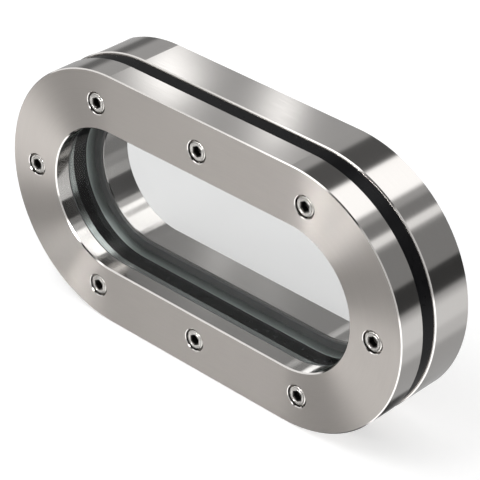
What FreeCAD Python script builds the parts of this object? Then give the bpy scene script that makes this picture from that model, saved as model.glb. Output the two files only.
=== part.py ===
import FreeCAD, Part
import math
import os

# Oval sight glass: two oval steel flanges clamp a thick oval glass plate between flat seals.
# Millimetres. X is the long axis, the cover faces -Y, the rear face lies at +Y, Z is up.
# The origin is the middle of the footprint, on the ground under the flanges.
# Every oval is a stadium: two half circles joined by straight sides, all round the same two centres.

# Outline shared by both flanges
CENTRE_DISTANCE = 150.0
FLANGE_RADIUS = 90.0
FLANGE_EDGE_CHAMFER = 0.7

# Cover flange
COVER_THICKNESS = 19.5
WINDOW_RADIUS = 50.0
WINDOW_EDGE_CHAMFER = 0.8
COVER_POCKET_DEPTH = 8.5

# Base flange
BASE_THICKNESS = 30.5
BORE_SEAT_CHAMFER = 0.5
BORE_REAR_CHAMFER = 0.6
BASE_POCKET_DEPTH = 8.5

# Edges of the glass pockets in both flanges
POCKET_MOUTH_CHAMFER = 0.4
POCKET_FLOOR_FILLET = 0.5

# Glass plate and the seals on its two faces
FRONT_SEAT_WIDTH = 3.0
REAR_SEAT_WIDTH = 6.5
GLASS_THICKNESS = 25.0
GLASS_ARRIS = 0.5
GLASS_SIDE_CLEARANCE = 0.25
FRONT_GASKET_THICKNESS = 1.0
FRONT_GASKET_SETBACK = 0.2
REAR_GASKET_THICKNESS = 2.0
REAR_GASKET_SETBACK = 0.2

# Spacer gasket in the gap between the flanges
SPACER_OUTER_SETBACK = 1.4
SPACER_POCKET_SETBACK = 0.3
SPACER_HOLE_CLEARANCE = 0.75

# Screws: hexagon socket head cap screws, M8 by 40
SCREW_EDGE_DISTANCE = 22.0
CORNER_SCREW_ANGLE = 10.0
THREAD_DIAMETER = 8.0
SCREW_LENGTH = 40.0
HEAD_DIAMETER = 13.0
HEAD_HEIGHT = 8.0
HEAD_RIM_CHAMFER = 0.8
HEAD_NECK_RADIUS = 0.4
SOCKET_ACROSS_FLATS = 6.0
SOCKET_DEPTH = 4.0
SOCKET_FLOOR_HALF_ANGLE = 60.0
SOCKET_MOUTH_CHAMFER = 0.4
SHANK_TIP_CHAMFER = 1.0

# Screw holes
HEAD_SIDE_CLEARANCE = 1.0
HEAD_SINK = 0.5
COUNTERBORE_MOUTH_CHAMFER = 0.4
THROUGH_HOLE_CLEARANCE = 0.5
TAPPED_WALL_CLEARANCE = 0.05
TAPPED_RUN_OUT = 3.0
TAPPED_MOUTH_CHAMFER = 0.6
DRILL_HALF_ANGLE = 59.0

# Planes across the depth, from the cover's face back to the weld face
CLAMPED_STACK = FRONT_GASKET_THICKNESS + GLASS_THICKNESS + REAR_GASKET_THICKNESS
FLANGE_GAP = CLAMPED_STACK - COVER_POCKET_DEPTH - BASE_POCKET_DEPTH
TOTAL_DEPTH = COVER_THICKNESS + FLANGE_GAP + BASE_THICKNESS
Y_FRONT = -TOTAL_DEPTH / 2
Y_COVER_BACK = Y_FRONT + COVER_THICKNESS
Y_COVER_SEAT = Y_COVER_BACK - COVER_POCKET_DEPTH
Y_GLASS_FRONT = Y_COVER_SEAT + FRONT_GASKET_THICKNESS
Y_GLASS_BACK = Y_GLASS_FRONT + GLASS_THICKNESS
Y_BASE_FRONT = Y_COVER_BACK + FLANGE_GAP
Y_BASE_SEAT = Y_BASE_FRONT + BASE_POCKET_DEPTH
Y_REAR = Y_BASE_FRONT + BASE_THICKNESS
Y_HEAD_TOP = Y_FRONT + HEAD_SINK
Y_HEAD_SEAT = Y_HEAD_TOP + HEAD_HEIGHT
Y_SCREW_TIP = Y_HEAD_SEAT + SCREW_LENGTH
Z_MIDDLE = FLANGE_RADIUS

# End radii of the ovals that follow the window, and of the screws' path inside the outline
GLASS_RADIUS = WINDOW_RADIUS + FRONT_SEAT_WIDTH
BORE_RADIUS = GLASS_RADIUS - REAR_SEAT_WIDTH
POCKET_RADIUS = GLASS_RADIUS + POCKET_FLOOR_FILLET + GLASS_SIDE_CLEARANCE
SCREW_PATH_RADIUS = FLANGE_RADIUS - SCREW_EDGE_DISTANCE
HALF_STRAIGHT = CENTRE_DISTANCE / 2


def point(x, y, z):
    """A point given across, in depth, and up from the middle line of the ovals."""
    return FreeCAD.Vector(x, y, Z_MIDDLE + z)


def oval(radius, y_start, y_end):
    """A solid stadium of the given end radius, drawn at y_start and pushed back to y_end."""
    top_left = point(-HALF_STRAIGHT, y_start, radius)
    top_right = point(HALF_STRAIGHT, y_start, radius)
    right_tip = point(HALF_STRAIGHT + radius, y_start, 0)
    bottom_right = point(HALF_STRAIGHT, y_start, -radius)
    bottom_left = point(-HALF_STRAIGHT, y_start, -radius)
    left_tip = point(-HALF_STRAIGHT - radius, y_start, 0)
    outline = Part.Wire([
        Part.LineSegment(top_left, top_right).toShape(),
        Part.Arc(top_right, right_tip, bottom_right).toShape(),
        Part.LineSegment(bottom_right, bottom_left).toShape(),
        Part.Arc(bottom_left, left_tip, top_left).toShape(),
    ])
    return Part.Face(outline).extrude(FreeCAD.Vector(0, y_end - y_start, 0))


def oval_rim(solid, radius, y):
    """The edges of a solid that lie in the plane y on the stadium of the given end radius."""
    rim = []
    for edge in solid.Edges:
        middle = edge.valueAt((edge.FirstParameter + edge.LastParameter) / 2)
        beyond = max(abs(middle.x) - HALF_STRAIGHT, 0.0)
        reach = math.hypot(beyond, middle.z - Z_MIDDLE)
        ends_in_plane = all(abs(v.Point.y - y) < 1e-6 for v in edge.Vertexes)
        if ends_in_plane and abs(middle.y - y) < 1e-6 and abs(reach - radius) < 1e-6:
            rim.append(edge)
    return rim


def circles(solid, radius, y):
    """The round edges of a solid that have the given radius and lie in the plane y."""
    found = []
    for edge in solid.Edges:
        if isinstance(edge.Curve, Part.Circle):
            in_plane = abs(edge.Curve.Center.y - y) < 1e-6
            if in_plane and abs(edge.Curve.Radius - radius) < 1e-6:
                found.append(edge)
    return found


def cylinder(radius, centre, y_start, y_end):
    """A round bar or hole that runs back along +Y from y_start to y_end."""
    x, z = centre
    return Part.makeCylinder(radius, y_end - y_start, point(x, y_start, z), FreeCAD.Vector(0, 1, 0))


def cone(radius_start, radius_end, centre, y_start, y_end):
    """A cone along +Y whose radius goes from radius_start to radius_end."""
    x, z = centre
    start = point(x, y_start, z)
    return Part.makeCone(radius_start, radius_end, y_end - y_start, start, FreeCAD.Vector(0, 1, 0))


def screw_centres():
    """The eight screw axes by name, on a stadium path round the window."""
    turn = math.radians(CORNER_SCREW_ANGLE)
    corner_x = HALF_STRAIGHT + SCREW_PATH_RADIUS * math.sin(turn)
    corner_z = SCREW_PATH_RADIUS * math.cos(turn)
    end_x = HALF_STRAIGHT + SCREW_PATH_RADIUS
    return {
        "screw_top_left": (-corner_x, corner_z),
        "screw_top_mid": (0.0, SCREW_PATH_RADIUS),
        "screw_top_right": (corner_x, corner_z),
        "screw_right": (end_x, 0.0),
        "screw_bottom_right": (corner_x, -corner_z),
        "screw_bottom_mid": (0.0, -SCREW_PATH_RADIUS),
        "screw_bottom_left": (-corner_x, -corner_z),
        "screw_left": (-end_x, 0.0),
    }


def counterbored_hole(centre):
    """The cutter for one screw in the cover: chamfered mouth, head room and eased through hole."""
    head_room = HEAD_DIAMETER / 2 + HEAD_SIDE_CLEARANCE
    mouth = head_room + COUNTERBORE_MOUTH_CHAMFER
    y_mouth = Y_FRONT + COUNTERBORE_MOUTH_CHAMFER
    hole_radius = THREAD_DIAMETER / 2 + THROUGH_HOLE_CLEARANCE
    cutter = cylinder(head_room, centre, Y_FRONT, Y_HEAD_SEAT)
    cutter = cutter.fuse(cone(mouth, head_room, centre, Y_FRONT, y_mouth))
    eased = hole_radius + HEAD_NECK_RADIUS
    cutter = cutter.fuse(cone(eased, hole_radius, centre, Y_HEAD_SEAT, Y_HEAD_SEAT + HEAD_NECK_RADIUS))
    return cutter.fuse(cylinder(hole_radius, centre, Y_FRONT, Y_COVER_BACK))


def tapped_hole(centre):
    """The cutter for one blind tapped hole in the base, with its countersink and drill point."""
    wall = THREAD_DIAMETER / 2 + TAPPED_WALL_CLEARANCE
    y_bottom = Y_SCREW_TIP + TAPPED_RUN_OUT
    y_point = y_bottom + wall / math.tan(math.radians(DRILL_HALF_ANGLE))
    mouth = wall + TAPPED_MOUTH_CHAMFER
    cutter = cylinder(wall, centre, Y_BASE_FRONT, y_bottom)
    cutter = cutter.fuse(cone(wall, 0.0, centre, y_bottom, y_point))
    return cutter.fuse(cone(mouth, wall, centre, Y_BASE_FRONT, Y_BASE_FRONT + TAPPED_MOUTH_CHAMFER))


def make_cover_flange():
    """The front ring: window, glass pocket behind it, counterbored screw holes, broken edges."""
    plate = oval(FLANGE_RADIUS, Y_FRONT, Y_COVER_BACK)
    plate = plate.cut(oval(WINDOW_RADIUS, Y_FRONT, Y_COVER_SEAT))
    plate = plate.cut(oval(POCKET_RADIUS, Y_COVER_SEAT, Y_COVER_BACK))
    outer = oval_rim(plate, FLANGE_RADIUS, Y_FRONT) + oval_rim(plate, FLANGE_RADIUS, Y_COVER_BACK)
    plate = plate.makeChamfer(FLANGE_EDGE_CHAMFER, outer)
    plate = plate.makeChamfer(WINDOW_EDGE_CHAMFER, oval_rim(plate, WINDOW_RADIUS, Y_FRONT))
    plate = plate.makeChamfer(POCKET_MOUTH_CHAMFER, oval_rim(plate, POCKET_RADIUS, Y_COVER_BACK))
    plate = plate.makeFillet(POCKET_FLOOR_FILLET, oval_rim(plate, POCKET_RADIUS, Y_COVER_SEAT))
    for centre in screw_centres().values():
        plate = plate.cut(counterbored_hole(centre))
    return plate


def make_base_flange():
    """The rear ring: glass pocket with a seat, narrower bore, blind tapped holes, flat weld face."""
    plate = oval(FLANGE_RADIUS, Y_BASE_FRONT, Y_REAR)
    plate = plate.cut(oval(POCKET_RADIUS, Y_BASE_FRONT, Y_BASE_SEAT))
    plate = plate.cut(oval(BORE_RADIUS, Y_BASE_SEAT, Y_REAR))
    outer = oval_rim(plate, FLANGE_RADIUS, Y_BASE_FRONT) + oval_rim(plate, FLANGE_RADIUS, Y_REAR)
    plate = plate.makeChamfer(FLANGE_EDGE_CHAMFER, outer)
    plate = plate.makeChamfer(BORE_REAR_CHAMFER, oval_rim(plate, BORE_RADIUS, Y_REAR))
    plate = plate.makeChamfer(BORE_SEAT_CHAMFER, oval_rim(plate, BORE_RADIUS, Y_BASE_SEAT))
    plate = plate.makeChamfer(POCKET_MOUTH_CHAMFER, oval_rim(plate, POCKET_RADIUS, Y_BASE_FRONT))
    plate = plate.makeFillet(POCKET_FLOOR_FILLET, oval_rim(plate, POCKET_RADIUS, Y_BASE_SEAT))
    for centre in screw_centres().values():
        plate = plate.cut(tapped_hole(centre))
    return plate


def make_sight_glass():
    """The glass plate with ground arrises round both faces."""
    plate = oval(GLASS_RADIUS, Y_GLASS_FRONT, Y_GLASS_BACK)
    arrises = oval_rim(plate, GLASS_RADIUS, Y_GLASS_FRONT) + oval_rim(plate, GLASS_RADIUS, Y_GLASS_BACK)
    return plate.makeChamfer(GLASS_ARRIS, arrises)


def make_front_gasket():
    """The thin flat seal between the cover's seat and the glass, just clear of the window."""
    inner_radius = WINDOW_RADIUS + FRONT_GASKET_SETBACK
    ring = oval(GLASS_RADIUS, Y_COVER_SEAT, Y_GLASS_FRONT)
    return ring.cut(oval(inner_radius, Y_COVER_SEAT, Y_GLASS_FRONT))


def make_rear_gasket():
    """The flat seal between the glass and the base's seat, just clear of the bore's broken edge."""
    inner_radius = BORE_RADIUS + BORE_SEAT_CHAMFER + REAR_GASKET_SETBACK
    ring = oval(GLASS_RADIUS, Y_GLASS_BACK, Y_BASE_SEAT)
    return ring.cut(oval(inner_radius, Y_GLASS_BACK, Y_BASE_SEAT))


def make_spacer_gasket():
    """The ring that closes the gap between the flanges round the glass; the screws pass through it."""
    ring = oval(FLANGE_RADIUS - SPACER_OUTER_SETBACK, Y_COVER_BACK, Y_BASE_FRONT)
    ring = ring.cut(oval(POCKET_RADIUS + SPACER_POCKET_SETBACK, Y_COVER_BACK, Y_BASE_FRONT))
    hole_radius = THREAD_DIAMETER / 2 + SPACER_HOLE_CLEARANCE
    for centre in screw_centres().values():
        ring = ring.cut(cylinder(hole_radius, centre, Y_COVER_BACK, Y_BASE_FRONT))
    return ring


def hexagon_socket(centre):
    """The cutter for the key socket: chamfered mouth, hexagon prism and conical floor."""
    x, z = centre
    corner_radius = SOCKET_ACROSS_FLATS / math.sqrt(3)
    corners = []
    for step in range(6):
        turn = math.radians(60 * step)
        across = x + corner_radius * math.sin(turn)
        corners.append(point(across, Y_HEAD_TOP, z + corner_radius * math.cos(turn)))
    prism = Part.Face(Part.makePolygon(corners + corners[:1])).extrude(FreeCAD.Vector(0, SOCKET_DEPTH, 0))
    y_floor = Y_HEAD_TOP + SOCKET_DEPTH
    floor_radius = SOCKET_ACROSS_FLATS / 2
    floor_depth = floor_radius / math.tan(math.radians(SOCKET_FLOOR_HALF_ANGLE))
    mouth_radius = corner_radius + SOCKET_MOUTH_CHAMFER
    mouth_depth = mouth_radius - floor_radius
    floor = cone(floor_radius, 0.0, centre, y_floor, y_floor + floor_depth)
    mouth = cone(mouth_radius, floor_radius, centre, Y_HEAD_TOP, Y_HEAD_TOP + mouth_depth)
    return prism.fuse(floor).fuse(mouth)


def make_screw(centre):
    """One cap screw: sunk head with a key socket, neck fillet, shank with a chamfered tip."""
    head_radius = HEAD_DIAMETER / 2
    shank_radius = THREAD_DIAMETER / 2
    head = cylinder(head_radius, centre, Y_HEAD_TOP, Y_HEAD_SEAT)
    screw = head.fuse(cylinder(shank_radius, centre, Y_HEAD_SEAT, Y_SCREW_TIP))
    screw = screw.makeChamfer(HEAD_RIM_CHAMFER, circles(screw, head_radius, Y_HEAD_TOP))
    screw = screw.makeChamfer(SHANK_TIP_CHAMFER, circles(screw, shank_radius, Y_SCREW_TIP))
    screw = screw.makeFillet(HEAD_NECK_RADIUS, circles(screw, shank_radius, Y_HEAD_SEAT))
    return screw.cut(hexagon_socket(centre))


def export(node, shape):
    """Writes the one closed solid of a piece as its own STEP file."""
    solid, = shape.Solids
    solid.exportStep(os.path.join("parts", node + ".step"))


os.makedirs("parts", exist_ok=True)
export("cover_flange", make_cover_flange())
export("base_flange", make_base_flange())
export("sight_glass", make_sight_glass())
export("front_gasket", make_front_gasket())
export("rear_gasket", make_rear_gasket())
export("spacer_gasket", make_spacer_gasket())
for name, centre in screw_centres().items():
    export(name, make_screw(centre))
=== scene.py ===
import math
import bpy
import numpy as np
from mathutils import Matrix, Vector


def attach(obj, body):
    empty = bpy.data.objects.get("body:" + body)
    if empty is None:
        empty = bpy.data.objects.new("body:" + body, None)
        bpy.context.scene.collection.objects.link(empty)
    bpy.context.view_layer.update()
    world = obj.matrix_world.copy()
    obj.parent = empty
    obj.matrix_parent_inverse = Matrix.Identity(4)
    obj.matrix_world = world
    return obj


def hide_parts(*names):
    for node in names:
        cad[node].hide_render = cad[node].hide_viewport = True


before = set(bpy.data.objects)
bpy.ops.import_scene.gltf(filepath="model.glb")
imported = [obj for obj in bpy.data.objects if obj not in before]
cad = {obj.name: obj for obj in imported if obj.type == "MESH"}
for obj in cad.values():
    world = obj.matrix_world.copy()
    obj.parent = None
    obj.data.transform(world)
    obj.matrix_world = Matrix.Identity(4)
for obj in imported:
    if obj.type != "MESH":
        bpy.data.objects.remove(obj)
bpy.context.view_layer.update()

# The two flanges are oval plates cut from stainless steel bar, and eight screws pull the cover in front
# towards the base behind it. Faces, rims and bores are brushed along the oval, so light spreads across the
# brush lines and stays sharp along them. The walls of the pockets that hold the glass are duller, and their
# steel is painted darker than the faces' steel: painted shade of the pockets.
ARC_CENTRE_X = 0.075
ARC_CENTRE_Z = 0.090
STEEL = (0.64, 0.60, 0.565)
RIM_STEEL = (0.63, 0.61, 0.59)
COVER_POCKET_SHADED = (0.46, 0.46, 0.455)
BASE_POCKET_SHADED = (0.47, 0.49, 0.48)
# How quickly the brush noise runs: across the lines, along the straights and round the end arcs.
LINES_ACROSS = 2500.0
LINES_ALONG = 60.0
LINES_AROUND = 4.0
LINE_ROUGHNESS = 0.8
CLOUD_SCALE = 26.0
WAVE_SCALE = 22.0
WAVE_IN_DEPTH = 0.35


def add_socket(group, name, way, kind, value=None):
    """Adds one named input or output to a node group, with its resting value."""
    socket = group.interface.new_socket(name, in_out=way, socket_type=kind)
    if value is not None:
        socket.default_value = value


def maths(tree, operation, *operands):
    """One Math node: each operand is a number or another node's output, and the result is its output."""
    node = tree.nodes.new("ShaderNodeMath")
    node.operation = operation
    for slot, operand in enumerate(operands):
        if isinstance(operand, (int, float)):
            node.inputs[slot].default_value = operand
        else:
            tree.links.new(operand, node.inputs[slot])
    return node.outputs[0]


def vector_maths(tree, operation, first, second=None, scale=None):
    """One Vector Math node: each operand is three numbers or another node's output, and scale is an output."""
    node = tree.nodes.new("ShaderNodeVectorMath")
    node.operation = operation
    for slot, operand in enumerate((first, second)):
        if isinstance(operand, tuple):
            node.inputs[slot].default_value = operand
        elif operand is not None:
            tree.links.new(operand, node.inputs[slot])
    if scale is not None:
        tree.links.new(scale, node.inputs["Scale"])
    return node.outputs["Vector"]


def object_place(tree):
    """The point's place on the Object coordinates, which are the part's own frame."""
    return tree.nodes.new("ShaderNodeTexCoord").outputs["Object"]


def noise(tree, place, scale, detail=2.0):
    """One Noise Texture node read at a place, as its outputs."""
    node = tree.nodes.new("ShaderNodeTexNoise")
    node.inputs["Scale"].default_value = scale
    node.inputs["Detail"].default_value = detail
    tree.links.new(place, node.inputs["Vector"])
    return node.outputs


def swing(tree, outputs):
    """The noise's value less one half, so that it swings evenly to both sides of nought."""
    return maths(tree, "SUBTRACT", outputs["Fac"], 0.5)


def off_middle_line(tree, x, z):
    """The way from the oval's middle line to a point: x beyond the arc centre, and z from the centre.

    The first is the sign of x times the larger of nought and (the size of x less the arc centre's)."""
    beyond = maths(tree, "MAXIMUM", maths(tree, "SUBTRACT", maths(tree, "ABSOLUTE", x), ARC_CENTRE_X), 0.0)
    side = maths(tree, "MULTIPLY", beyond, maths(tree, "SIGN", x))
    return side, maths(tree, "SUBTRACT", z, ARC_CENTRE_Z)


def brushing_group():
    """The brushed finish: fine lines along the oval and slow clouds, as a colour, a roughness and a normal.

    The distance from the oval's middle line is the length of (x beyond the arc centre, z from the centre).
    Noise that runs quickly across that distance and slowly along the oval gives the brush lines."""
    group = bpy.data.node_groups.new("oval_brushing", "ShaderNodeTree")
    add_socket(group, "Steel", "INPUT", "NodeSocketColor", (*STEEL, 1.0))
    add_socket(group, "Roughness", "INPUT", "NodeSocketFloat", 0.3)
    add_socket(group, "Line depth", "INPUT", "NodeSocketFloat", 0.06)
    add_socket(group, "Cloud depth", "INPUT", "NodeSocketFloat", 0.06)
    add_socket(group, "Waviness", "INPUT", "NodeSocketFloat", 0.01)
    add_socket(group, "Colour", "OUTPUT", "NodeSocketColor")
    add_socket(group, "Roughness", "OUTPUT", "NodeSocketFloat")
    add_socket(group, "Normal", "OUTPUT", "NodeSocketVector")
    given, put_out = group.nodes.new("NodeGroupInput"), group.nodes.new("NodeGroupOutput")
    place = object_place(group)
    normal = group.nodes.new("ShaderNodeTexCoord").outputs["Normal"]
    split = group.nodes.new("ShaderNodeSeparateXYZ")
    group.links.new(place, split.inputs[0])
    x, y, z = split.outputs
    side, height = off_middle_line(group, x, z)
    radius = maths(group, "SQRT", maths(group, "ADD", maths(group, "MULTIPLY", side, side),
                                        maths(group, "MULTIPLY", height, height)))
    around = maths(group, "MULTIPLY", maths(group, "ARCTAN2", height, side), LINES_AROUND)
    lines_at = group.nodes.new("ShaderNodeCombineXYZ")
    group.links.new(maths(group, "MULTIPLY", radius, LINES_ACROSS), lines_at.inputs[0])
    group.links.new(maths(group, "MULTIPLY", y, LINES_ACROSS), lines_at.inputs[1])
    group.links.new(maths(group, "MULTIPLY_ADD", x, LINES_ALONG, around), lines_at.inputs[2])
    line = swing(group, noise(group, lines_at.outputs[0], 1.0))
    cloud = swing(group, noise(group, place, CLOUD_SCALE))
    shade = maths(group, "MULTIPLY_ADD", cloud, given.outputs["Cloud depth"], 1.0)
    shade = maths(group, "MULTIPLY_ADD", line, given.outputs["Line depth"], shade)
    group.links.new(vector_maths(group, "SCALE", given.outputs["Steel"], scale=shade), put_out.inputs["Colour"])
    line_depth = maths(group, "MULTIPLY", given.outputs["Line depth"], LINE_ROUGHNESS)
    rough = maths(group, "MULTIPLY_ADD", line, line_depth, given.outputs["Roughness"])
    group.links.new(rough, put_out.inputs["Roughness"])
    waves_at = vector_maths(group, "MULTIPLY", place, (1.0, WAVE_IN_DEPTH, 1.0))
    waves = noise(group, waves_at, WAVE_SCALE, 1.0)["Color"]
    tilt = vector_maths(group, "SUBTRACT", waves, (0.5, 0.5, 0.5))
    tilt = vector_maths(group, "SCALE", tilt, scale=given.outputs["Waviness"])
    bent = vector_maths(group, "NORMALIZE", vector_maths(group, "ADD", normal, tilt))
    group.links.new(bent, put_out.inputs["Normal"])
    return group


def new_material(name, metallic, roughness, colour):
    """A node material with one principled shader, returned with its tree and that shader."""
    made = bpy.data.materials.new(name)
    made.use_nodes = True
    shader = made.node_tree.nodes["Principled BSDF"]
    shader.inputs["Metallic"].default_value = metallic
    shader.inputs["Roughness"].default_value = roughness
    shader.inputs["Base Color"].default_value = (*colour, 1.0)
    return made, made.node_tree, shader


def place_group(tree, group, values):
    """Places a node group in a material with that material's own values."""
    node = tree.nodes.new("ShaderNodeGroup")
    node.node_tree = group
    for name, value in values.items():
        node.inputs[name].default_value = value
    return node.outputs


oval_brushing = brushing_group()


def brushed_steel(name, colour, roughness, line_depth, cloud_depth, waviness, anisotropy):
    """Steel brushed along the oval: the highlight's long way is across the brush lines.

    The brush direction at a point is a quarter turn from the radius there, which the Tangent socket takes."""
    made, tree, shader = new_material(name, 1.0, roughness, colour)
    finish = place_group(tree, oval_brushing, {
        "Steel": (*colour, 1.0), "Roughness": roughness,
        "Line depth": line_depth, "Cloud depth": cloud_depth, "Waviness": waviness})
    tree.links.new(finish["Colour"], shader.inputs["Base Color"])
    tree.links.new(finish["Roughness"], shader.inputs["Roughness"])
    tree.links.new(finish["Normal"], shader.inputs["Normal"])
    shader.inputs["Anisotropic"].default_value = anisotropy
    shader.inputs["Anisotropic Rotation"].default_value = 0.25
    split = tree.nodes.new("ShaderNodeSeparateXYZ")
    tree.links.new(object_place(tree), split.inputs[0])
    side, height = off_middle_line(tree, split.outputs[0], split.outputs[2])
    along = tree.nodes.new("ShaderNodeCombineXYZ")
    tree.links.new(maths(tree, "MULTIPLY", height, -1.0), along.inputs[0])
    tree.links.new(side, along.inputs[2])
    tree.links.new(vector_maths(tree, "NORMALIZE", along.outputs[0]), shader.inputs["Tangent"])
    return made


def face_rows(mesh, what):
    """The normals or the centres of a mesh's faces, as rows of x, y and z."""
    rows = np.empty(len(mesh.polygons) * 3)
    mesh.polygons.foreach_get(what, rows)
    return rows.reshape(-1, 3)


def dress(mesh, materials, slots):
    """Gives a mesh its materials, and each face the number of the one that it wears."""
    mesh.materials.clear()
    for material in materials:
        mesh.materials.append(material)
    mesh.polygons.foreach_set("material_index", slots.astype(np.int32))


face_steel = brushed_steel("flange_face_steel", STEEL, roughness=0.38, line_depth=0.10,
                           cloud_depth=0.06, waviness=0.004, anisotropy=0.93)
rim_steel = brushed_steel("flange_rim_steel", RIM_STEEL, roughness=0.11, line_depth=0.08,
                          cloud_depth=0.05, waviness=0.01, anisotropy=0.5)
# The pocket steels are darker than the face steel: painted shade in the pockets behind the glass.
cover_pocket_steel = brushed_steel("cover_pocket_steel", COVER_POCKET_SHADED, roughness=0.20, line_depth=0.10,
                                   cloud_depth=0.05, waviness=0.01, anisotropy=0.3)
base_pocket_steel = brushed_steel("base_pocket_steel", BASE_POCKET_SHADED, roughness=0.50, line_depth=0.10,
                                  cloud_depth=0.05, waviness=0.01, anisotropy=0.3)
# The pocket's walls lie within this distance of the middle line and between these depths. A face is a front
# or a back where the depth part of its normal is more than FLAT_FACE.
POCKET_OUTSIDE, POCKET_FRONT, POCKET_REAR = 0.0560, -0.0195, 0.0080
FLAT_FACE = 0.95
for name, pocket_steel in (("cover_flange", cover_pocket_steel), ("base_flange", base_pocket_steel)):
    mesh = cad[name].data
    flat = np.abs(face_rows(mesh, "normal")[:, 1]) > FLAT_FACE
    x, y, z = face_rows(mesh, "center").T
    out = np.hypot(np.maximum(np.abs(x) - ARC_CENTRE_X, 0.0), z - ARC_CENTRE_Z)
    in_pocket = (out < POCKET_OUTSIDE) & (y > POCKET_FRONT) & (y < POCKET_REAR)
    dress(mesh, (face_steel, rim_steel, pocket_steel), np.where(flat, 0, np.where(in_pocket, 2, 1)))


def mesh_group(name):
    """A node group for a modifier, with the sockets where its mesh comes in and goes out."""
    group = bpy.data.node_groups.new(name, "GeometryNodeTree")
    add_socket(group, "Geometry", "INPUT", "NodeSocketGeometry")
    add_socket(group, "Geometry", "OUTPUT", "NodeSocketGeometry")
    given, put_out = group.nodes.new("NodeGroupInput"), group.nodes.new("NodeGroupOutput")
    return group, given.outputs["Geometry"], put_out.inputs["Geometry"]


# The base's eight blind holes end in drill points, where the solid's mesh has one face without area each.
# A node modifier leaves those faces out and keeps the rest of the mesh as it is.
SMALLEST_FACE = 1e-12
leave_out, mesh_in, mesh_out = mesh_group("leave_out_flat_faces")
delete = leave_out.nodes.new("GeometryNodeDeleteGeometry")
delete.domain = "FACE"
area = leave_out.nodes.new("GeometryNodeInputMeshFaceArea").outputs["Area"]
leave_out.links.new(mesh_in, delete.inputs["Geometry"])
leave_out.links.new(maths(leave_out, "LESS_THAN", area, SMALLEST_FACE), delete.inputs["Selection"])
leave_out.links.new(delete.outputs["Geometry"], mesh_out)
cad["base_flange"].modifiers.new("leave_out_flat_faces", "NODES").node_group = leave_out

# The sight glass is a thick oval plate of clear glass with polished faces and a ground, faintly green edge.
# It lies in the pockets of both flanges, between the two flat seals. Its gloss is a thin coat, and light
# passes through it without bending, as the view through it shows.
FACE_TINT = (0.68, 0.685, 0.685)
EDGE_TINT = (0.735, 0.79, 0.775)
TINT_SWING = 0.12


def plate_glass(name, tint, streak, transmission, gloss):
    """Glass whose tint varies a little: slow clouds over the plate, or fine streaks along its edge.

    The tint is multiplied by one plus the noise's swing times TINT_SWING, with the noise read at the place
    times the streak."""
    made, tree, shader = new_material(name, 0.0, 0.0, tint)
    shader.inputs["Transmission Weight"].default_value = transmission
    shader.inputs["IOR"].default_value = 1.0
    shader.inputs["Coat Weight"].default_value = gloss
    shader.inputs["Coat Roughness"].default_value = 0.01
    shader.inputs["Coat IOR"].default_value = 1.5
    clouds = noise(tree, vector_maths(tree, "MULTIPLY", object_place(tree), streak), 1.0)
    shade = maths(tree, "MULTIPLY_ADD", swing(tree, clouds), TINT_SWING, 1.0)
    tree.links.new(vector_maths(tree, "SCALE", tint, scale=shade), shader.inputs["Base Color"])
    return made


face_glass = plate_glass("sight_glass_face", FACE_TINT, (9.0, 9.0, 9.0), transmission=1.0, gloss=0.25)
edge_glass = plate_glass("sight_glass_edge", EDGE_TINT, (12.0, 1400.0, 12.0), transmission=0.998, gloss=0.10)
mesh = cad["sight_glass"].data
flat = np.abs(face_rows(mesh, "normal")[:, 1]) > FLAT_FACE
dress(mesh, (face_glass, edge_glass), np.where(flat, 0, 1))

# The two flat seals on the glass are grey moulded rubber, the front one darker, cut to the ovals.
# The spacer in the gap between the flanges is a smooth black ring, set back a little behind the rims.
# Its near-black colour and weak gloss also stand in for the shade deep in the gap: partly painted shade.
FRONT_SEAL = (0.12, 0.122, 0.122)
REAR_SEAL = (0.13, 0.13, 0.128)
SPACER_BLACK_AND_SHADE = (0.006, 0.006, 0.007)
SKIN_SCALE = 260.0
SKIN_ROUGHNESS = 0.3


def rubber_group():
    """Moulded rubber: a colour and a roughness that wander a little over the skin."""
    group = bpy.data.node_groups.new("moulded_rubber", "ShaderNodeTree")
    add_socket(group, "Rubber", "INPUT", "NodeSocketColor", (0.1, 0.1, 0.1, 1.0))
    add_socket(group, "Roughness", "INPUT", "NodeSocketFloat", 0.4)
    add_socket(group, "Mottle", "INPUT", "NodeSocketFloat", 0.3)
    add_socket(group, "Colour", "OUTPUT", "NodeSocketColor")
    add_socket(group, "Roughness", "OUTPUT", "NodeSocketFloat")
    given, put_out = group.nodes.new("NodeGroupInput"), group.nodes.new("NodeGroupOutput")
    skin = swing(group, noise(group, object_place(group), SKIN_SCALE, 3.0))
    spread = maths(group, "MULTIPLY", skin, given.outputs["Mottle"])
    shade = maths(group, "ADD", spread, 1.0)
    group.links.new(vector_maths(group, "SCALE", given.outputs["Rubber"], scale=shade), put_out.inputs["Colour"])
    rough = maths(group, "MULTIPLY_ADD", spread, SKIN_ROUGHNESS, given.outputs["Roughness"])
    group.links.new(rough, put_out.inputs["Roughness"])
    return group


moulded_rubber = rubber_group()


def rubber(name, piece, colour, roughness, mottle, specular):
    """A rubber material, worn by one piece."""
    made, tree, shader = new_material(name, 0.0, roughness, colour)
    shader.inputs["Specular IOR Level"].default_value = specular
    skin = place_group(tree, moulded_rubber, {
        "Rubber": (*colour, 1.0), "Roughness": roughness, "Mottle": mottle})
    tree.links.new(skin["Colour"], shader.inputs["Base Color"])
    tree.links.new(skin["Roughness"], shader.inputs["Roughness"])
    cad[piece].data.materials.clear()
    cad[piece].data.materials.append(made)


rubber("front_seal_rubber", "front_gasket", FRONT_SEAL, roughness=0.30, mottle=0.30, specular=0.4)
rubber("rear_seal_rubber", "rear_gasket", REAR_SEAL, roughness=0.30, mottle=0.15, specular=0.5)
# The spacer's near-black colour and low gloss are partly painted shade of the gap between the flanges.
rubber("spacer_black", "spacer_gasket", SPACER_BLACK_AND_SHADE, roughness=0.30, mottle=0.60, specular=0.09)

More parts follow.
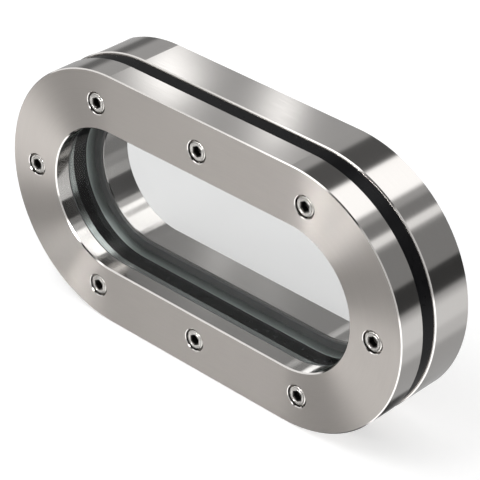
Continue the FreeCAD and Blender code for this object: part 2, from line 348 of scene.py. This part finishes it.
# The rear seal's front face is drawn in by a hundredth of a millimetre, by a node modifier, because rays
# pass a face that lies in one plane with the glass's. Points before the seal's middle depth move.
SEAL_DRAWN_IN = 0.00001
SEAL_MIDDLE = 0.0075
draw_in, mesh_in, mesh_out = mesh_group("draw_in_seal_face")
move = draw_in.nodes.new("GeometryNodeSetPosition")
move.inputs["Offset"].default_value = (0.0, SEAL_DRAWN_IN, 0.0)
at = draw_in.nodes.new("ShaderNodeSeparateXYZ")
draw_in.links.new(draw_in.nodes.new("GeometryNodeInputPosition").outputs[0], at.inputs[0])
draw_in.links.new(mesh_in, move.inputs["Geometry"])
draw_in.links.new(maths(draw_in, "LESS_THAN", at.outputs[1], SEAL_MIDDLE), move.inputs["Selection"])
draw_in.links.new(move.outputs["Geometry"], mesh_out)
cad["rear_gasket"].modifiers.new("draw_in_seal_face", "NODES").node_group = draw_in

# The eight screws are stainless M8 cap screws with a hexagon socket, sunk in the cover's counterbores and
# turned into the base's tapped holes. The heads are turned bright, with an eased edge and a fine ring round
# the socket, and the sockets' near-black inside is painted shade. The last 28 mm of each shank carries the
# thread.
HEAD_TOP, HEAD_SEAT, SCREW_TIP = -0.0300, -0.0220, 0.0180
HEAD_RADIUS, HEAD_EASE, HEAD_EASE_DEPTH, HEAD_UNDER_EASE = 0.0065, 0.0009, 0.0007, 0.0003
RING_GROOVE_RADIUS, RING_GROOVE_HALF, RING_GROOVE_DEPTH = 0.0047, 0.00014, 0.00010
SOCKET_FLATS, SOCKET_MOUTH_FLATS, SOCKET_MOUTH_DEPTH = 0.0060, 0.0070, 0.0004
SOCKET_DEPTH, SOCKET_POINT = 0.0040, 0.0055
SHANK_RADIUS, SHANK_ROOT, TIP_CHAMFER = 0.0040, 0.0004, 0.0010
THREAD_PITCH, THREAD_DEPTH, THREAD_LENGTH = 0.00125, 0.00077, 0.028
THREAD_RUN_OUT_TURNS, THREAD_SHORT_OF_TIP = 2.0, 0.0005
SPOKES = 72
THREAD_ROWS_A_TURN = 6
SHARP_EDGE = 32.0
TURNED_STEEL = (0.66, 0.64, 0.61)
TURNED_ROUGHNESS = 0.26
TURNED_LINES, TURNED_LINE_SHADE, TURNED_LINE_ROUGHNESS = 5200.0, 0.25, 0.2
# The sockets' near-black steel colour is painted shade of the deep hexagon recess.
SOCKET_PAINTED_SHADE = (0.07, 0.065, 0.06)
SOCKET_SHADE_MOTTLE_SCALE = 900.0
SCREW_PLACES = {
    "screw_top_left": (-0.086808, 0.156967), "screw_top_mid": (0.0, 0.158),
    "screw_top_right": (0.086808, 0.156967), "screw_right": (0.143, 0.090),
    "screw_bottom_right": (0.086808, 0.023033), "screw_bottom_mid": (0.0, 0.022),
    "screw_bottom_left": (-0.086808, 0.023033), "screw_left": (-0.143, 0.090),
}


def screw_rows():
    """The screw's outline from its tip to the floor of its socket, as rows of radius, depth and hexagon share.

    The eased edge is a quarter wave: radius goes with the sine and depth with one less the cosine."""
    thread = np.arange(SCREW_TIP - TIP_CHAMFER, SCREW_TIP - THREAD_LENGTH, -THREAD_PITCH / THREAD_ROWS_A_TURN)
    rows = [(SHANK_RADIUS - TIP_CHAMFER, SCREW_TIP, 0.0)] + [(SHANK_RADIUS, y, 0.0) for y in thread]
    rows += [(SHANK_RADIUS, HEAD_SEAT + SHANK_ROOT, 0.0), (SHANK_RADIUS + SHANK_ROOT, HEAD_SEAT, 0.0),
             (HEAD_RADIUS - HEAD_UNDER_EASE, HEAD_SEAT, 0.0), (HEAD_RADIUS, HEAD_SEAT - HEAD_UNDER_EASE, 0.0)]
    for turn in np.radians((90.0, 75.0, 60.0, 45.0, 30.0, 15.0, 0.0)):
        rows.append((HEAD_RADIUS - HEAD_EASE * (1.0 - math.sin(turn)),
                     HEAD_TOP + HEAD_EASE_DEPTH * (1.0 - math.cos(turn)), 0.0))
    rows += [(RING_GROOVE_RADIUS + RING_GROOVE_HALF, HEAD_TOP, 0.0),
             (RING_GROOVE_RADIUS, HEAD_TOP + RING_GROOVE_DEPTH, 0.0),
             (RING_GROOVE_RADIUS - RING_GROOVE_HALF, HEAD_TOP, 0.0), (SOCKET_MOUTH_FLATS / 2.0, HEAD_TOP, 1.0)]
    dark_from = len(rows) - 1
    rows += [(SOCKET_FLATS / 2.0, HEAD_TOP + SOCKET_MOUTH_DEPTH, 1.0),
             (SOCKET_FLATS / 2.0, HEAD_TOP + SOCKET_DEPTH, 1.0)]
    return np.array(rows), dark_from


def round_faces(rows, spokes):
    """The four-sided faces between neighbouring rows of points, each row closed round with its spokes."""
    row, spoke = np.meshgrid(np.arange(rows - 1), np.arange(spokes), indexing="ij")
    beside = (spoke + 1) % spokes
    return np.stack([row * spokes + spoke, (row + 1) * spokes + spoke,
                     (row + 1) * spokes + beside, row * spokes + beside], axis=-1).reshape(-1, 4)


def add_object(name, data):
    """Puts a mesh, a light or a camera in the scene under its name."""
    made = bpy.data.objects.new(name, data)
    bpy.context.scene.collection.objects.link(made)
    return made


def cap_screw(name, middle_x, middle_z):
    """One screw turned about its axis: a row's points lie on a circle, or on a hexagon in the socket.

    A hexagon's radius is half its flats over the cosine of the angle from the nearest flat. The thread takes
    a triangle wave of (depth / pitch + turn) off the radius, which winds to the right."""
    rows, dark_from = screw_rows()
    turn = np.arange(SPOKES) * 2.0 * np.pi / SPOKES
    off_flat = (turn + np.pi / 6.0) % (np.pi / 3.0) - np.pi / 6.0
    radius = rows[:, :1] * (1.0 + rows[:, 2:] * (1.0 / np.cos(off_flat)[None, :] - 1.0))
    depth = np.repeat(rows[:, 1:2], SPOKES, axis=1)
    wave = np.abs(2.0 * ((depth / THREAD_PITCH + turn[None, :] / (2.0 * np.pi)) % 1.0) - 1.0)
    run_out = (depth - (SCREW_TIP - THREAD_LENGTH)) / (THREAD_RUN_OUT_TURNS * THREAD_PITCH)
    share = np.clip(run_out, 0.0, 1.0) * (depth < SCREW_TIP - THREAD_SHORT_OF_TIP)
    radius = radius - THREAD_DEPTH * wave * share
    points = np.stack([middle_x + radius * np.cos(turn)[None, :], depth,
                       middle_z + radius * np.sin(turn)[None, :]], axis=-1)
    ends = [(middle_x, SCREW_TIP, middle_z), (middle_x, HEAD_TOP + SOCKET_POINT, middle_z)]
    quads = round_faces(len(rows), SPOKES)
    tip, floor_point, last = len(rows) * SPOKES, len(rows) * SPOKES + 1, (len(rows) - 1) * SPOKES
    spoke = np.arange(SPOKES)
    beside = (spoke + 1) % SPOKES
    tip_fan = np.stack([np.full(SPOKES, tip), spoke, beside], axis=-1)
    floor_fan = np.stack([np.full(SPOKES, floor_point), last + beside, last + spoke], axis=-1)
    mesh = bpy.data.meshes.new(name + "_turned")
    mesh.from_pydata(points.reshape(-1, 3).tolist() + ends, [],
                     quads.tolist() + tip_fan.tolist() + floor_fan.tolist())
    slots = np.zeros(len(mesh.polygons), dtype=np.int32)
    slots[:len(quads)] = np.arange(len(quads)) // SPOKES >= dark_from
    slots[len(quads) + SPOKES:] = 1
    dress(mesh, (turned_steel, socket_painted_shade), slots)
    reach = mesh.attributes.new("from_axis", "FLOAT", "POINT")
    reach.data.foreach_set("value", np.append(radius.reshape(-1), (0.0, 0.0)).astype(np.float32))
    mesh.shade_smooth()
    mesh.set_sharp_from_angle(angle=math.radians(SHARP_EDGE))
    piece = add_object(name + "_turned", mesh)
    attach(piece, "root")
    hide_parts(name)


def read_level(tree, name):
    """The value that a mesh's point attribute of this name has at the point."""
    node = tree.nodes.new("ShaderNodeAttribute")
    node.attribute_name = name
    return node.outputs["Fac"]


turned_steel, tree, shader = new_material("turned_screw_steel", 1.0, TURNED_ROUGHNESS, TURNED_STEEL)
rings = tree.nodes.new("ShaderNodeTexNoise")
rings.noise_dimensions = "1D"
rings.inputs["Detail"].default_value = 2.0
tree.links.new(maths(tree, "MULTIPLY", read_level(tree, "from_axis"), TURNED_LINES), rings.inputs["W"])
ring_line = swing(tree, rings.outputs)
ring_shade = maths(tree, "MULTIPLY_ADD", ring_line, TURNED_LINE_SHADE, 1.0)
tree.links.new(vector_maths(tree, "SCALE", TURNED_STEEL, scale=ring_shade), shader.inputs["Base Color"])
ring_rough = maths(tree, "MULTIPLY_ADD", ring_line, TURNED_LINE_ROUGHNESS, TURNED_ROUGHNESS)
tree.links.new(ring_rough, shader.inputs["Roughness"])
# Socket walls and floor: near-black steel mottled by noise, painted shade of the recess.
socket_painted_shade, tree, shader = new_material("screw_socket_dark", 1.0, 0.45, SOCKET_PAINTED_SHADE)
socket_shade_mottle = noise(tree, object_place(tree), SOCKET_SHADE_MOTTLE_SCALE)["Fac"]
tree.links.new(vector_maths(tree, "SCALE", SOCKET_PAINTED_SHADE, scale=socket_shade_mottle), shader.inputs["Base Color"])
for name, (middle_x, middle_z) in SCREW_PLACES.items():
    cap_screw(name, middle_x, middle_z)

# The floor is a pale matt sheet that keeps the object's shadow. Mirrored rays don't see it:
# they see the ring of boards below instead.
FLOOR_HALF = 4.0
FLOOR_LEVEL = -0.0003
FLOOR_GLOW = 0.45
floor_mesh = bpy.data.meshes.new("floor")
floor_mesh.from_pydata(
    [(-FLOOR_HALF, -FLOOR_HALF, FLOOR_LEVEL), (FLOOR_HALF, -FLOOR_HALF, FLOOR_LEVEL),
     (FLOOR_HALF, FLOOR_HALF, FLOOR_LEVEL), (-FLOOR_HALF, FLOOR_HALF, FLOOR_LEVEL)], [], [(0, 1, 2, 3)])
floor = add_object("floor", floor_mesh)
floor.visible_glossy = False
floor.visible_shadow = False
pale, tree, shader = new_material("pale_floor", 0.0, 0.9, (0.80, 0.80, 0.80))
shader.inputs["Specular IOR Level"].default_value = 0.0
path = tree.nodes.new("ShaderNodeLightPath")
seen = maths(tree, "MAXIMUM", path.outputs["Is Camera Ray"], path.outputs["Is Transmission Ray"])
shader.inputs["Emission Color"].default_value = (1.0, 1.0, 1.0, 1.0)
tree.links.new(maths(tree, "MULTIPLY", seen, FLOOR_GLOW), shader.inputs["Emission Strength"])
floor_mesh.materials.append(pale)

# A drum of studio boards stands round the fitting, with its axis along the fitting's depth: white lamps,
# grey walls and black flags, and a grey wall across its front end. Only mirrored rays see it, and rays that
# come out through the glass see a second set of boards hung inside the first.
DRUM_RADIUS = 1.25
DRUM_FRONT = -2.5
DRUM_BACK = 2.5
DEPTH_EDGE = 0.03
WALL_GREY = 0.45
WALL_BEHIND = 0.42
FRONT_WALL_LEVEL = 0.44
# Each board: from angle, to angle, soft edge (degrees round the drum), from depth, to depth (metres), level.
BOARDS = [
    (-180.0, 180.0, 1.0, -3.0, -0.02, 0.02),
    (-100.0, -10.0, 8.0, -3.0, -0.02, 1.9),
    (-10.0, 60.0, 8.0, -3.0, -0.02, 0.75),
    (60.0, 95.0, 8.0, -1.2, -0.02, 0.25),
    (95.0, 130.0, 8.0, -1.2, -0.02, 2.2),
    (130.0, 180.0, 8.0, -3.0, -0.02, 1.2),
    (-163.0, -149.0, 3.0, -0.8, -0.02, 1.8),
    (-163.0, -149.0, 3.0, -1.5, -0.8, 0.35),
    (-149.0, -139.0, 3.0, -1.25, -0.8, 1.05),
    (-139.0, -125.0, 3.0, -1.25, -0.8, 1.30),
    (-113.0, -87.0, 6.0, 0.0, 1.045, 0.04),
    (-135.0, -117.0, 8.0, 1.07, 2.0, 1.6),
    (-152.0, -135.0, 8.0, 0.90, 2.0, 1.45),
    (-152.0, -120.0, 4.0, 0.30, 0.90, 0.0),
    (-152.0, -115.0, 4.0, 1.18, 3.0, 0.02),
    (-50.0, -38.0, 8.0, 0.0, 2.0, 0.68),
    (-38.0, -16.0, 10.0, 0.0, 2.0, 0.86),
    (-10.5, 9.0, 5.0, 0.0, 2.0, 0.05),
    (9.0, 37.0, 4.0, 0.0, 2.0, 0.27),
    (39.5, 46.0, 3.0, 0.0, 2.0, 1.1),
    (47.0, 57.0, 4.0, 0.0, 2.0, 0.26),
    (64.0, 93.0, 4.0, 0.0, 2.0, 1.58),
    (94.0, 121.0, 5.0, 0.0, 2.0, 0.11),
    (163.0, 177.0, 8.0, 0.0, 2.0, 0.17),
    (196.0, 225.0, 8.0, 0.88, 2.0, 1.9),
]
# Each spot lamp on the drum: angle, depth, half-width in degrees, half-width in metres, level.
SPOTS = [
    (136.3, 1.060, 1.0, 0.020, 2.4),
    (135.3, 1.005, 1.0, 0.020, 0.6),
    (141.0, 0.925, 1.2, 0.032, 2.3),
]
# The same two lists for the set that rays see when they come out through the glass.
BOARDS_BEHIND = [
    (-171.0, -158.0, 6.0, -3.0, 3.0, 0.40),
    (-150.0, -137.0, 6.0, -3.0, 0.955, 0.60),
    (-137.0, -128.0, 4.0, -3.0, 0.955, 0.05),
    (-128.0, -88.0, 6.0, -3.0, 0.955, 0.28),
    (-157.0, -118.0, 6.0, -1.7, -0.45, 1.2),
    (-88.0, -78.0, 4.0, -3.0, 0.955, 0.85),
    (-68.0, -37.0, 6.0, -3.0, 3.0, 0.33),
    (-37.0, -26.0, 6.0, -3.0, 3.0, 0.50),
    (-26.0, -15.0, 4.0, -3.0, 0.985, 0.85),
    (-15.0, 5.0, 3.0, -3.0, 0.985, 1.25),
    (-15.0, 5.0, 6.0, 0.985, 3.0, 0.55),
    (5.5, 37.0, 3.0, -3.0, 0.985, 0.0),
    (5.5, 47.0, 5.0, 0.985, 3.0, 0.09),
    (37.0, 47.0, 5.0, -3.0, 0.985, 0.40),
    (47.0, 58.0, 5.0, -3.0, 3.0, 0.90),
    (58.0, 109.0, 4.0, -3.0, 0.945, 3.0),
    (58.0, 118.0, 4.0, 0.945, 3.0, 2.5),
    (68.0, 78.0, 5.0, 0.945, 3.0, 1.0),
    (109.0, 121.0, 4.0, -3.0, 0.945, 0.15),
    (121.0, 146.0, 6.0, -3.0, 0.870, 0.20),
    (139.0, 148.0, 4.0, 1.01, 3.0, 0.95),
    (167.0, 188.0, 8.0, -3.0, 1.09, 2.4),
]
SPOTS_BEHIND = [
    (139.6, 0.994, 0.9, 0.016, 0.90),
    (136.5, 1.056, 1.0, 0.020, 0.45),
]
ROUND, DEEP = 720, 401
angles = np.linspace(-180.0, 180.0, ROUND, endpoint=False)
depths = np.linspace(DRUM_FRONT, DRUM_BACK, DEEP)


def hang(wall, boards, spots):
    """The level of each drum cell: the wall's, then each board laid over it with a smooth edge, then each
    spot added as level * exp(-(degrees off / half-width)^2 / 2 - (metres off / half-width)^2 / 2)."""
    cells = np.full((DEEP, ROUND), wall)
    for start, end, edge, near, far, level in boards:
        off = np.abs((angles - (start + end) / 2.0 + 180.0) % 360.0 - 180.0)
        across = np.clip(((end - start + edge) / 2.0 - off) / edge, 0.0, 1.0)
        down = np.clip((depths - near) / DEPTH_EDGE, 0.0, 1.0) * np.clip((far - depths) / DEPTH_EDGE, 0.0, 1.0)
        share = down[:, None] * (across * across * (3.0 - 2.0 * across))[None, :]
        cells = cells * (1.0 - share) + level * share
    for middle, depth, half_angle, half_depth, level in spots:
        off = np.abs((angles - middle + 180.0) % 360.0 - 180.0) / half_angle
        cells = cells + level * np.exp(-0.5 * (off[None, :] ** 2 + ((depths[:, None] - depth) / half_depth) ** 2))
    return cells


def mirrored_only(piece):
    """Keeps a stage piece from the camera, from matt surfaces and from casting a shadow."""
    piece.visible_camera = False
    piece.visible_diffuse = False
    piece.visible_shadow = False
    piece.visible_volume_scatter = False


def glowing(name):
    """A material that only shines, returned with its tree, its shine and its output's Surface."""
    made = bpy.data.materials.new(name)
    made.use_nodes = True
    tree = made.node_tree
    tree.nodes.clear()
    shine = tree.nodes.new("ShaderNodeEmission")
    return made, tree, shine, tree.nodes.new("ShaderNodeOutputMaterial").inputs["Surface"]


levels = hang(WALL_GREY, BOARDS, SPOTS)
levels_behind = hang(WALL_BEHIND, BOARDS_BEHIND, SPOTS_BEHIND)
levels[0, :] = levels_behind[0, :] = FRONT_WALL_LEVEL
ring_points = np.empty((DEEP, ROUND, 3))
ring_points[..., 0] = DRUM_RADIUS * np.cos(np.radians(angles))[None, :]
ring_points[..., 1] = depths[:, None]
ring_points[..., 2] = ARC_CENTRE_Z + DRUM_RADIUS * np.sin(np.radians(angles))[None, :]
# The drum's faces point inwards, so their corners go round the other way.
quads = round_faces(DEEP, ROUND)[:, [0, 3, 2, 1]]
column = np.arange(ROUND)
front_fan = np.stack([np.full(ROUND, DEEP * ROUND), column, (column + 1) % ROUND], axis=-1)
ring_mesh = bpy.data.meshes.new("board_ring")
ring_mesh.from_pydata(ring_points.reshape(-1, 3).tolist() + [(0.0, DRUM_FRONT, ARC_CENTRE_Z)], [],
                      quads.tolist() + front_fan.tolist())
for name, cells in (("board_level", levels), ("board_level_behind", levels_behind)):
    glow = ring_mesh.attributes.new(name, "FLOAT", "POINT")
    glow.data.foreach_set("value", np.append(cells.reshape(-1), FRONT_WALL_LEVEL).astype(np.float32))
ring = add_object("board_ring", ring_mesh)
mirrored_only(ring)
ring_paint, tree, shine, surface = glowing("board_ring")
level, level_behind = read_level(tree, "board_level"), read_level(tree, "board_level_behind")
through = tree.nodes.new("ShaderNodeLightPath").outputs["Transmission Depth"]
through = maths(tree, "MINIMUM", through, 1.0)
change = maths(tree, "SUBTRACT", level_behind, level)
tree.links.new(maths(tree, "MULTIPLY_ADD", through, change, level), shine.inputs["Strength"])
tree.links.new(shine.outputs[0], surface)
ring_mesh.materials.append(ring_paint)

# Two small bright lamps face the cover from in front and above: one near, one far and to the left.
# Their light falls off smoothly from the middle to the edge.
LAMP_AIM = (0.0, -0.03, ARC_CENTRE_Z)
LAMP_RINGS, LAMP_SPOKES = 16, 48
LAMP_EDGE = 2.6


def soft_lamp(name, centre, spread, level):
    """A disc that faces the fitting and reaches LAMP_EDGE spreads out from its middle.

    Its level is the peak times exp(-(distance / spread)^2 / 2) times one less (distance / reach)^4."""
    reach = LAMP_EDGE * spread
    radius, angle = np.meshgrid(np.linspace(0.0, reach, LAMP_RINGS),
                                np.linspace(0, 2 * np.pi, LAMP_SPOKES, endpoint=False))
    aim = Vector(LAMP_AIM) - Vector(centre)
    turned = np.array(aim.to_track_quat("Z", "Y").to_matrix())
    flat = np.stack([radius * np.cos(angle), radius * np.sin(angle), 0 * radius], axis=-1).reshape(-1, 3)
    points = flat @ turned.T + np.array(centre)
    spoke, ringed = np.meshgrid(np.arange(LAMP_SPOKES), np.arange(LAMP_RINGS - 1), indexing="ij")
    beside = (spoke + 1) % LAMP_SPOKES
    corners = np.stack([spoke * LAMP_RINGS + ringed, spoke * LAMP_RINGS + ringed + 1,
                        beside * LAMP_RINGS + ringed + 1, beside * LAMP_RINGS + ringed], axis=-1).reshape(-1, 4)
    mesh = bpy.data.meshes.new(name)
    mesh.from_pydata(points.tolist(), [], corners.tolist())
    glow = mesh.attributes.new("board_level", "FLOAT", "POINT")
    fall = level * np.exp(-0.5 * (radius / spread) ** 2) * (1.0 - (radius / reach) ** 4)
    glow.data.foreach_set("value", fall.reshape(-1).astype(np.float32))
    lamp = add_object(name, mesh)
    mirrored_only(lamp)
    lamp.visible_transmission = False
    mesh.materials.append(lamp_paint)


lamp_paint, tree, shine, surface = glowing("soft_lamp")
tree.links.new(read_level(tree, "board_level"), shine.inputs["Strength"])
clear = tree.nodes.new("ShaderNodeBsdfTransparent")
both = tree.nodes.new("ShaderNodeAddShader")
tree.links.new(shine.outputs[0], both.inputs[0])
tree.links.new(clear.outputs[0], both.inputs[1])
tree.links.new(both.outputs[0], surface)
soft_lamp("near_lamp", (0.124, -0.699, 0.398), spread=0.080, level=20.3)
soft_lamp("far_lamp", (-0.641, -2.193, 0.845), spread=0.075, level=150.0)

# The sky is plain white to the camera, to mirrored rays and to rays through the glass, and gives the floor
# its soft light. One wide area lamp above the front left adds the object's soft shadow.
SKY_LIGHT = 0.65
world = bpy.data.worlds.new("studio")
bpy.context.scene.world = world
world.use_nodes = True
tree = world.node_tree
path = tree.nodes.new("ShaderNodeLightPath")
seen = maths(tree, "MAXIMUM", path.outputs["Is Camera Ray"], path.outputs["Is Glossy Ray"])
seen = maths(tree, "MAXIMUM", seen, path.outputs["Is Transmission Ray"])
sky = maths(tree, "MULTIPLY_ADD", seen, 1.0 - SKY_LIGHT, SKY_LIGHT)
tree.links.new(sky, tree.nodes["Background"].inputs["Strength"])
tree.nodes["Background"].inputs["Color"].default_value = (1.0, 1.0, 1.0, 1.0)
key = add_object("key_light", bpy.data.lights.new("key_light", "AREA"))
key.data.size, key.data.energy = 1.2, 10.0
key.location = (-0.6, -0.9, 1.6)
key.rotation_euler = (math.radians(28), 0.0, math.radians(-34))

# The camera looks down at the fitting from its right-hand front through a long lens. Its place and its
# three directions were fitted to the outline, the groove and the window in the photograph.
camera = add_object("camera", bpy.data.cameras.new("camera"))
bpy.context.scene.camera = camera
look = Vector((-0.575481, 0.622445, -0.530456))
right = Vector((0.725373, 0.688053, 0.020428))
up = Vector((-0.377697, 0.373022, 0.847466))
turn = Matrix((right, up, -look)).transposed()
camera.matrix_world = Matrix.Translation((0.860033, -0.920540, 0.871129)) @ turn.to_4x4()
camera.data.sensor_width = 36.0
camera.data.lens = 179.49
camera.data.clip_end = 20.0

bpy.context.scene.view_settings.view_transform = "Standard"
